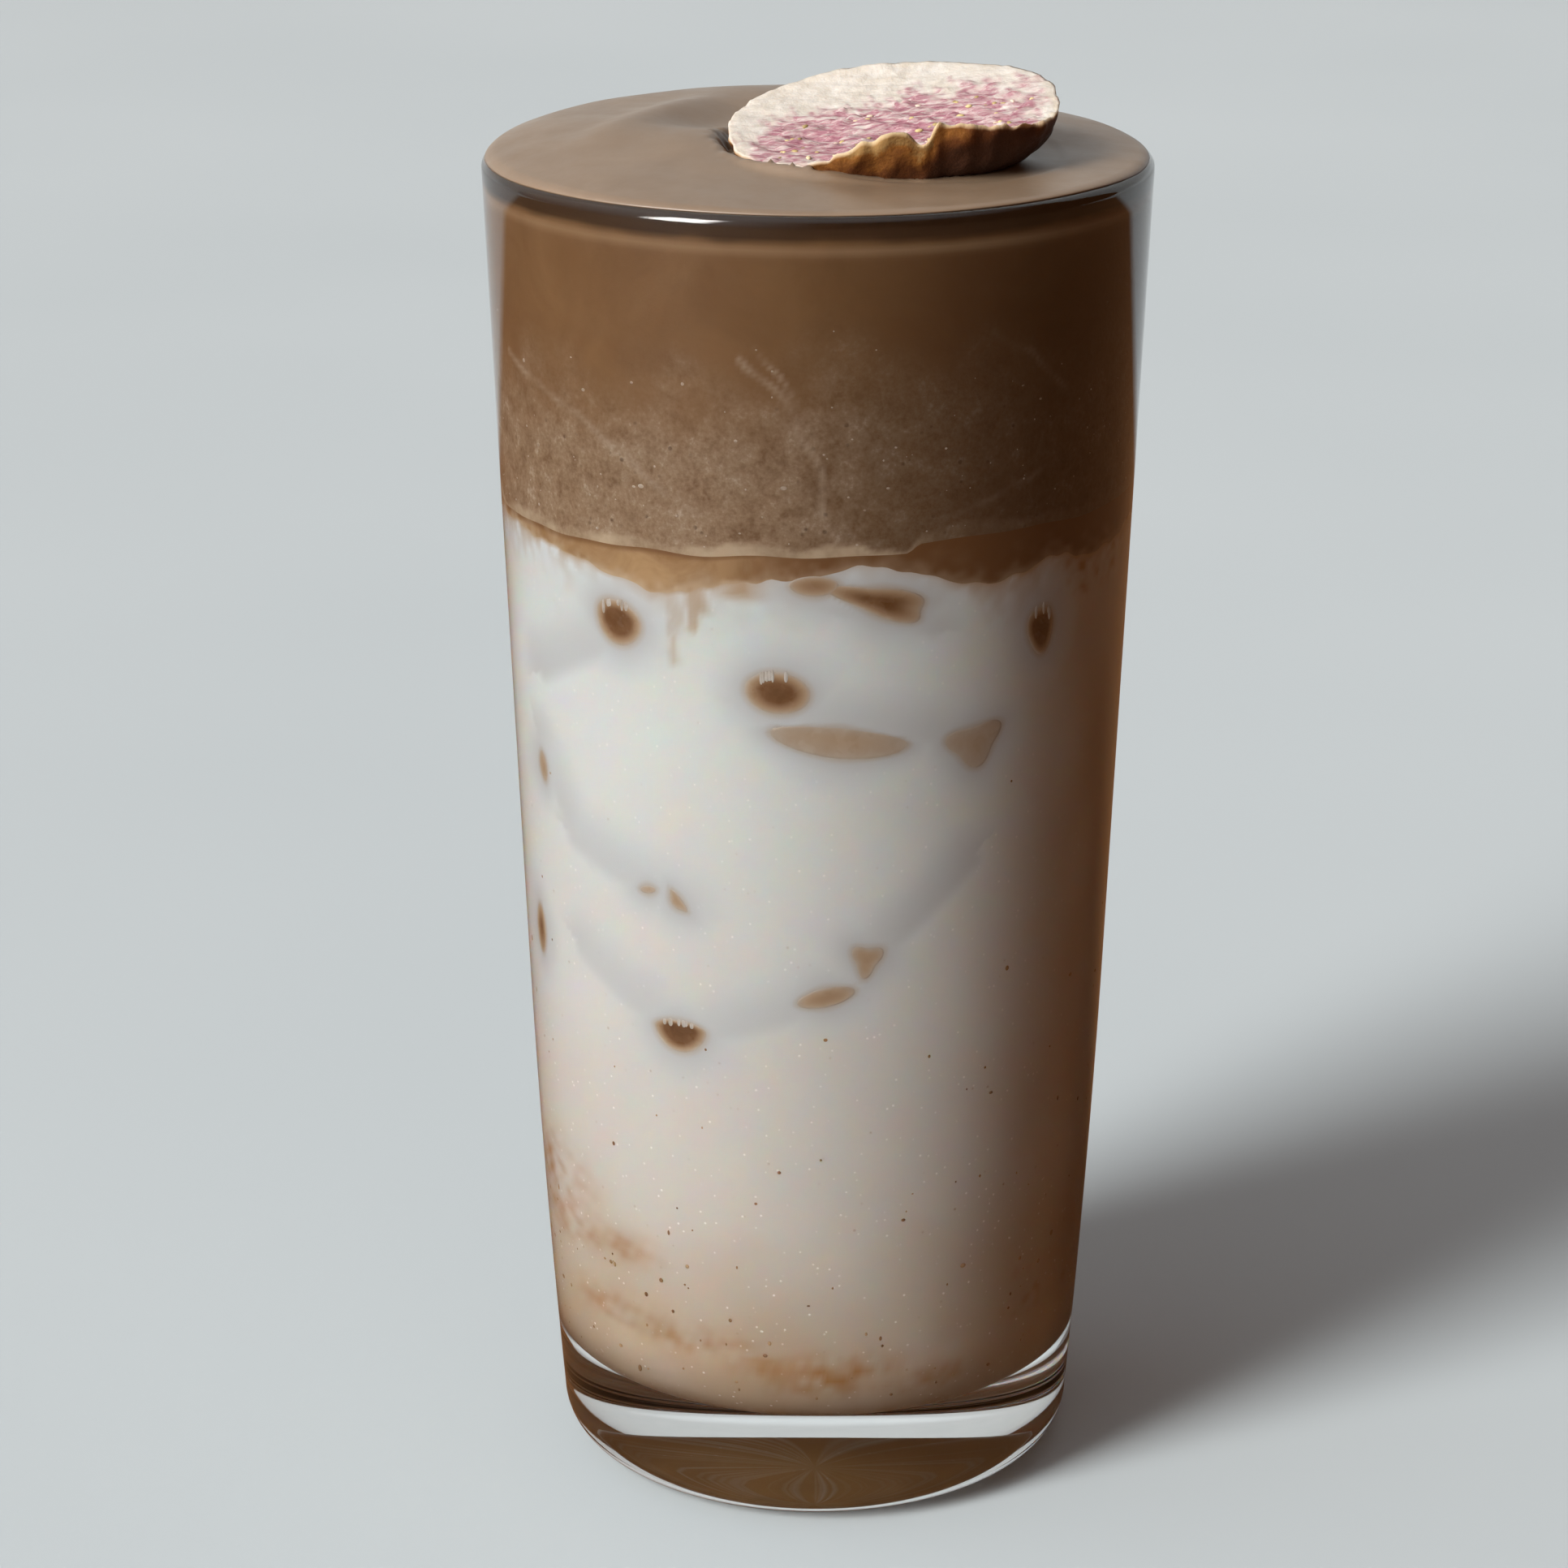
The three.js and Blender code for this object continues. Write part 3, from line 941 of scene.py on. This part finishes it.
def foam_rings():
    """Lid over the tea, side at the wall, a lap over the inner half of the lip, and the dome, with their
    values and the first ring that has the finish of the top."""
    angle = around(ROUND)
    low = foam_underside(angle)
    under = cap(low, FOAM_UNDERSIDE + 0.6, np.array([0.0, 0.4, 0.75]))
    share = np.linspace(0, 1, 84)[:, None]
    height = low[None] + (LIP_HEIGHT - low)[None] * share
    side = place(fill_radius(height), angle[None], height)
    lean = 0.25 * ripple(place(30, angle, 0), 52, 60, 12) - 0.35 * np.sin(angle)
    edge_turn = np.radians(108 - 24 * (lean + 0.3) - 44 * np.sin(angle) ** 2)
    turn = np.pi + (edge_turn[None] - np.pi) * np.linspace(0, 1, 12)[1:, None]
    over = 0.02 + 0.1 * np.linspace(1, 0, 12)[1:, None]
    lap_round = LIP_ROUND + over
    lap_height = LIP_HEIGHT + lap_round * np.sin(turn)
    lap = place(LIP_CENTRE + lap_round * np.cos(turn), angle[None], lap_height)
    edge_radius = np.hypot(lap[-1, :, 0], lap[-1, :, 1])
    edge_height = lap[-1, :, 2]
    inward = np.concatenate([np.linspace(0.9985, 0.93, 20), np.linspace(0.925, 0, 82)])[:, None]
    radius = inward * edge_radius[None]
    right = radius * np.sin(angle)
    back = -radius * np.cos(angle)
    dome = foam_dome(right, back, inward)
    rounded = np.sqrt(np.clip(1 - ((inward - 0.965) / 0.035).clip(0, 1) ** 2, 0, None))
    top = edge_height[None] + (dome - edge_height[None]) * rounded
    crown = foam_seat(place(radius, angle[None], top))
    rings = np.concatenate([under, side, lap, crown])
    turn_of, level = wall_place(rings)
    turned_by = np.degrees(turn_of)
    thick = 1.05 + 0.42 * ripple(place(WALL_RADIUS, angle, 0), 57, 22, 2)
    lower_lip = smooth(thick[None] + 0.35, thick[None] - 0.25, level - low[None])
    right_side = smooth(10, 24, turned_by) * smooth(150, 100, turned_by)
    values = {
        "wrinkle": foam_wrinkle(turn_of, level) * (1 - 0.7 * smooth(-5, 30, turned_by)),
        "lower_lip": lower_lip * (1 - 0.85 * right_side),
        "airy": foam_airy(turn_of, level),
        # painted shade: a dark band on the foam behind the lip
        "lip_painted_shade": foam_lip_painted_shade(turn_of, level),
        # painted highlight: a pale band on the foam just under the lip, for the glass lip's bright edge
        "lip_painted_glint": hump(level, LIP_HEIGHT - 2.55, 0.55),
        # painted shade: the foam darker on the right, the side away from the window
        "foam_right_painted_shade": smooth(-22, 34, turned_by) * smooth(150, 100, turned_by),
    }
    return rings, values, len(under) + len(side) + LAP_RINGS_WITH_SIDE


def foam_wrinkle(angle, height):
    """Closeness to the wrinkles in the foam at the wall: a bell curve of the distance to each line."""
    points = place(WALL_RADIUS, angle, height)
    bent = 0.7 * ripple(points, 53, 14, 4)
    near = np.zeros(np.broadcast_shapes(angle.shape, height.shape))
    for first, first_height, last, last_height in FOAM_WRINKLES:
        length = WALL_RADIUS * np.radians(last - first)
        rise = last_height - first_height
        across = WALL_RADIUS * wrapped(angle - np.radians(first)) + bent
        away = np.hypot(*off_line(across, height - first_height, length, rise))
        near = np.maximum(near, hump(away, 0, 0.34))
    return near * np.clip(0.55 + 0.6 * ripple(points, 55, 9, 2.5), 0, 1)


def foam_airy(angle, height):
    """Share of pale, bubbly foam at the wall: none near the rim, more below a ragged level."""
    points = place(WALL_RADIUS, angle, height)
    level = 131.5 + 2.5 * np.sin(angle * 2 + 0.6) + 2.2 * ripple(points, 54, 26, 5)
    return smooth(level + 6, level - 9, height)


def foam_lip_painted_shade(angle, height):
    """Painted shade behind the lip, for the dark band that the glass lip shows there: none below it, full a
    little above where the lip's round begins.
    """
    edge = LIP_HEIGHT - 1.6 + 0.12 * ripple(place(WALL_RADIUS, angle, 0), 56, 20, 4)
    return smooth(edge - 0.5, edge + 0.4, height)


def foam_side_finish():
    fine = grain(0.5, 3, 0.65)
    cloud = stretch(grain(9, 4, 0.55, 0.6), 0.3, 0.7)
    dense = blend(cloud, (0.190, 0.098, 0.042), (0.235, 0.128, 0.058))
    lumps = grain(2.6, 5, 0.64, 0.35)
    mottle = plus(times(fine, 0.4), times(lumps, 0.6))
    airy = ramp(stretch(mottle, 0.36, 0.66), (
        (0, (0.195, 0.118, 0.066)),
        (0.4, (0.275, 0.182, 0.112)),
        (0.72, (0.335, 0.238, 0.158)),
        (1, (0.46, 0.36, 0.27)),
    ))
    side = blend(number("airy"), dense, airy)
    hole = times(stretch(cells(1.5), 0.2, 0.1, 0.0, 0.7), stretch(lumps, 0.5, 0.62))
    # painted shade: dark brown on the right side of the foam
    right_shaded = blend(times(number("foam_right_painted_shade"), 0.72), side, (0.075, 0.034, 0.013))
    pitted = blend(times(hole, number("airy")), right_shaded, (0.07, 0.036, 0.018))
    creased = blend(times(number("wrinkle"), 0.45), pitted, (0.50, 0.40, 0.31))
    patch = times(number("lower_lip"), stretch(grain(5, 4), 0.36, 0.6, 0.25, 0.9))
    lipped = blend(patch, creased, (0.52, 0.405, 0.285))
    # painted highlight: the pale band on the foam under the lip
    glint = blend(times(number("lip_painted_glint"), 0.32), lipped, (0.46, 0.31, 0.19))
    return {
        # painted shade: near-black brown on the foam behind the lip
        "Base Color": blend(number("lip_painted_shade"), glint, (0.045, 0.023, 0.011)),
        "Roughness": stretch(grain(5, 3), 0.3, 0.7, 0.4, 0.5),
        "Specular IOR Level": 0.08,
        **FOAM_GLOW,
        "Normal": bump(mottle, 0.12, 0.6),
    }


def foam_top_finish():
    cloud = stretch(grain(9, 4, 0.55, 0.6), 0.3, 0.7)
    return {
        "Base Color": blend(cloud, (0.165, 0.110, 0.068), (0.20, 0.137, 0.088)),
        "Roughness": stretch(grain(5, 3), 0.3, 0.7, 0.36, 0.46),
        "Specular IOR Level": 0.75,
        **FOAM_GLOW,
        "Normal": bump(grain(0.7, 3, 0.6), 0.04, 0.4),
    }


def foam_bubble_stacks():
    """Pale bubbles in the foam at the wall, thickest low down, most of them tiny, smaller on the right."""
    draw = np.random.default_rng(61)
    count = 260
    angle = draw.uniform(-np.pi, np.pi, count)
    height = foam_underside(angle) + 1.0 + 26 * draw.beta(1.1, 2.2, count)
    size = 0.07 + 0.34 * draw.beta(0.7, 6.0, count)
    size = size * np.where((angle > 0.25) & (angle < 1.9), 0.6, 1.0)
    sizes = np.stack([size * draw.uniform(0.8, 1.6, count), np.full(count, 0.09), size], axis=-1)
    return blob_stacks(place(fill_radius(height), angle, height), sizes, turn_about(2, angle))


def bubble_finish():
    tint = blend(stretch(grain(6), 0.3, 0.7), (0.36, 0.27, 0.20), (0.55, 0.47, 0.39))
    return {"Base Color": tint, "Roughness": 0.35, "Specular IOR Level": 0.2}


def milk_drop_stacks():
    """Short runs of milk that hang over the upper edge of the darkest ice faces."""
    draw = np.random.default_rng(71)
    rows = []
    for turn, level, half_length, half_height, _, press, flat, _ in ICE_ALL_SPOTS:
        if press > DRIP_PRESS:
            for share in draw.uniform(-0.75, 0.75, 6):
                top = level + half_height / flat * np.sqrt(1 - share**2)
                side = turn + np.degrees(half_length * share / WALL_RADIUS)
                rows.append((side, top, draw.uniform(0.16, 0.32), draw.uniform(0.35, 0.85)))
    turn, level, width, length = np.array(rows).T
    sizes = np.stack([width, np.full(len(width), 0.12), length], axis=-1)
    angle = np.radians(turn)
    return blob_stacks(place(fill_radius(level), angle, level - 0.4 * length), sizes, turn_about(2, angle))


def fleck_stacks():
    """Flecks of roasted tea in the milk at the wall, most of them low down."""
    draw = np.random.default_rng(81)
    count = 300
    angle = draw.uniform(-np.pi, np.pi, count)
    height = 15.5 + 85 * draw.beta(0.8, 3.0, count)
    size = 0.10 + 0.36 * draw.beta(0.9, 4.0, count)
    wide = size * draw.uniform(0.7, 1.3, count)
    sizes = np.stack([wide, np.full(count, 0.07), size * draw.uniform(0.7, 1.5, count)], axis=-1)
    stacks = blob_stacks(place(fill_radius(height), angle, height), sizes, turn_about(2, angle))
    return stacks, blob_tints(draw, count)


def fleck_finish():
    colour = ramp(number("tint"), (
        (0, (0.17, 0.085, 0.04)),
        (0.5, (0.32, 0.19, 0.095)),
        (1, (0.47, 0.32, 0.19)),
    ))
    return {"Base Color": colour, "Roughness": 0.5, "Specular IOR Level": 0.1}


def drop_finish():
    tint = blend(stretch(grain(1.5), 0.3, 0.7), (0.42, 0.36, 0.30), (0.62, 0.60, 0.57))
    return {"Base Color": tint, "Roughness": 0.4, "Specular IOR Level": 0.1}


# Making the pieces


def settle(piece, slot, *nodes):
    """A piece rides on the one body and stands for CAD nodes, which are hidden. The slot is not used."""
    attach(piece, "root")
    if nodes:
        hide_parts(*nodes)


def make_drink():
    glass = ringed("glass_body", turned(glass_profile(), 256), {}, finish("clear_glass", glass_finish))
    settle(glass, "clear_glass", "glass")

    rings = milk_rings()
    angle, height = wall_place(rings)
    values = {
        "ice_depth": ice_depth(angle, height),
        "tea": tea_share(angle, height),
        # syrup and tea dust, with painted brown shade on the right
        "stain_and_shade": stain_and_right_shade(angle, height),
    }
    under_tea = smooth(0.3, 5, tea_underside(angle) - height)
    values["deep"] = smooth(0.1, 2.2, values["ice_depth"]) * under_tea * smooth(14, 19, height)
    milk = ringed("milk_body", rings, values, finish("milk", milk_finish), (len(rings) - 4,))
    settle(milk, "milk", "milk")

    stacks, depth = ice_stacks()
    ice = many_ringed("ice_faces", stacks, {"ice_depth": depth}, finish("ice_in_milk", ice_finish))
    settle(ice, "milk")

    drops = many_ringed("milk_drops", milk_drop_stacks(), {}, finish("milk_drops", drop_finish))
    settle(drops, "milk")

    stacks, tint = fleck_stacks()
    flecks = many_ringed("tea_flecks", stacks, {"tint": tint}, finish("tea_flecks", fleck_finish))
    settle(flecks, "tea")

    rings = tea_rings()
    angle, height = wall_place(rings)
    above = height - tea_underside(angle)
    mixed = np.exp(-np.clip(above, 0, None) / (0.7 + 0.5 * ripple(rings, 10, 9, 1.3)).clip(0.12))
    mixed = 0.7 * np.clip(mixed * (1 + 0.35 * ripple(rings, 11, 5, 0.9)), 0, 1)
    # painted shade: a thin shadow line under the foam, and the right side darker with less milk
    under_foam = smooth(0.8, 0.1, foam_underside(angle) - height)
    right_side = smooth(-28, 4, np.degrees(angle)) * smooth(120, 80, np.degrees(angle))
    values = {"milk": mixed * (1 - 0.5 * right_side), "tea_painted_shade": np.maximum(0.75 * under_foam, right_side)}
    tea = ringed("tea_body", rings, values, finish("tea", tea_finish), (3, len(rings) - 4))
    settle(tea, "tea", "tea_layer")

    rings, values, first_top = foam_rings()
    foam = ringed("foam_body", rings, values, finish("foam_side", foam_side_finish), (3,))
    foam.data.materials.append(finish("foam_top", foam_top_finish))
    on_top = np.repeat(np.arange(1, len(rings) - 2) >= first_top, ROUND)
    faces = np.concatenate([np.zeros(ROUND), np.ones(ROUND), on_top]).astype(np.int32)
    foam.data.polygons.foreach_set("material_index", faces)
    settle(foam, "foam", "hojicha_foam")

    bubbles = many_ringed("foam_bubbles", foam_bubble_stacks(), {}, finish("foam_bubbles", bubble_finish))
    settle(bubbles, "foam")

    rings, values = fig_rings()
    fig = ringed("fig_body", rings, values, finish("dried_fig", fig_finish))
    settle(fig, "fig", "fig_slice")

    stacks, tint = fig_seed_stacks()
    seeds = many_ringed("fig_seeds", stacks, {"tint": tint}, finish("fig_seeds", seed_finish))
    settle(seeds, "fig")


# Stage, light and camera


def floor_finish():
    """A pale floor, brown in the light that it throws back and, unless far behind, in mirrors."""
    tone = stretch(grain(300, 2), 0.3, 0.7)
    pale = blend(tone, (0.405, 0.45, 0.47), (0.43, 0.475, 0.495))
    path = add("LightPath").outputs
    diffuse = stretch(path["Diffuse Depth"], 0, 1)
    mirrored = stretch(path["Glossy Depth"], 0, 1)
    back = add("SeparateXYZ", {0: where()}).outputs["Y"]
    near = stretch(back, 0.42, 0.47, 1.0, 0.0)
    brown = reckon("MAXIMUM", diffuse, times(mirrored, near))
    return {
        "Base Color": blend(brown, pale, (0.132, 0.056, 0.017)),
        "Roughness": 0.8,
        "Specular IOR Level": 0.2,
    }


def make_stage():
    """A floor that sweeps up far behind: flat, then a quarter circle, then upright."""
    bend = np.radians(np.linspace(0, 90, 24))
    across = np.linspace(-4, 4, 9)
    along = np.concatenate([[-4.0], 1.6 + 0.8 * np.sin(bend), [2.4]])
    up = np.concatenate([[0.0], 0.8 * (1 - np.cos(bend)), [4.0]]) - FLOOR_GAP * MM
    points = np.stack(np.broadcast_arrays(across[None], along[:, None], up[:, None]), axis=-1)
    index = np.arange(len(along) * len(across)).reshape(len(along), len(across))
    corners = [index[:-1, :-1], index[:-1, 1:], index[1:, 1:], index[1:, :-1]]
    quads = np.stack(corners, axis=-1).reshape(-1, 4)
    no_triangles = np.empty((0, 3), int)
    material = finish("pale_floor", floor_finish)
    floor = write_mesh("floor", points.reshape(-1, 3) / MM, no_triangles, quads, {}, material)


def edge_of(angle, first, last):
    """Zero at the first angle in degrees and one at the last."""
    return stretch(angle, np.radians(first), np.radians(last))


def make_light():
    """Light from all round: a tall soft window on the left in front, a cool sky above, and a dim warm
    room on the right and below."""
    world = bpy.data.worlds.new("soft_studio")
    world.use_nodes = True
    bpy.context.scene.world = world
    world.node_tree.nodes.clear()
    building["tree"] = world.node_tree
    heading = add("TexCoord").outputs["Generated"]
    split = add("SeparateXYZ", {0: heading})
    ahead = times(split.outputs["Y"], -1.0)
    azimuth = reckon("ARCTAN2", split.outputs["X"], ahead)
    rise = reckon("ARCSINE", split.outputs["Z"])
    wide = times(edge_of(azimuth, -64, -56), edge_of(azimuth, -36, -44))
    tall = times(edge_of(rise, 8, 18), edge_of(rise, 54, 42))
    lamp = times(times(wide, tall), LAMP)
    key = add("Background", {"Color": (1, 0.985, 0.96, 1), "Strength": lamp})
    above = ramp(stretch(split.outputs["Z"], -1, 1), (
        (0, (0.16, 0.105, 0.065)),
        (0.45, (0.20, 0.15, 0.11)),
        (0.55, (0.24, 0.25, 0.26)),
        (1, (1.05, 1.09, 1.13)),
    ))
    low = stretch(split.outputs["Z"], 0.75, 1.0, 1.0, 0.3)
    right = times(stretch(split.outputs["X"], -0.5, 0.0), low)
    room = blend(right, above, (0.125, 0.047, 0.015))
    sky = add("Background", {"Color": room, "Strength": 1.0})
    both = add("AddShader", {0: key.outputs[0], 1: sky.outputs[0]})
    add("OutputWorld", {0: both.outputs[0]})


def make_camera():
    data = bpy.data.cameras.new("camera")
    data.sensor_width = 36
    data.lens = 105.07
    data.clip_start = 0.01
    camera = bpy.data.objects.new("camera", data)
    camera.location = (0, -0.4896, 0.2411)
    camera.rotation_euler = (np.radians(71.6), 0, np.radians(0.427))
    bpy.context.scene.collection.objects.link(camera)
    bpy.context.scene.camera = camera


make_drink()
make_stage()
make_light()
make_camera()
bpy.context.scene.view_settings.view_transform = "Standard"
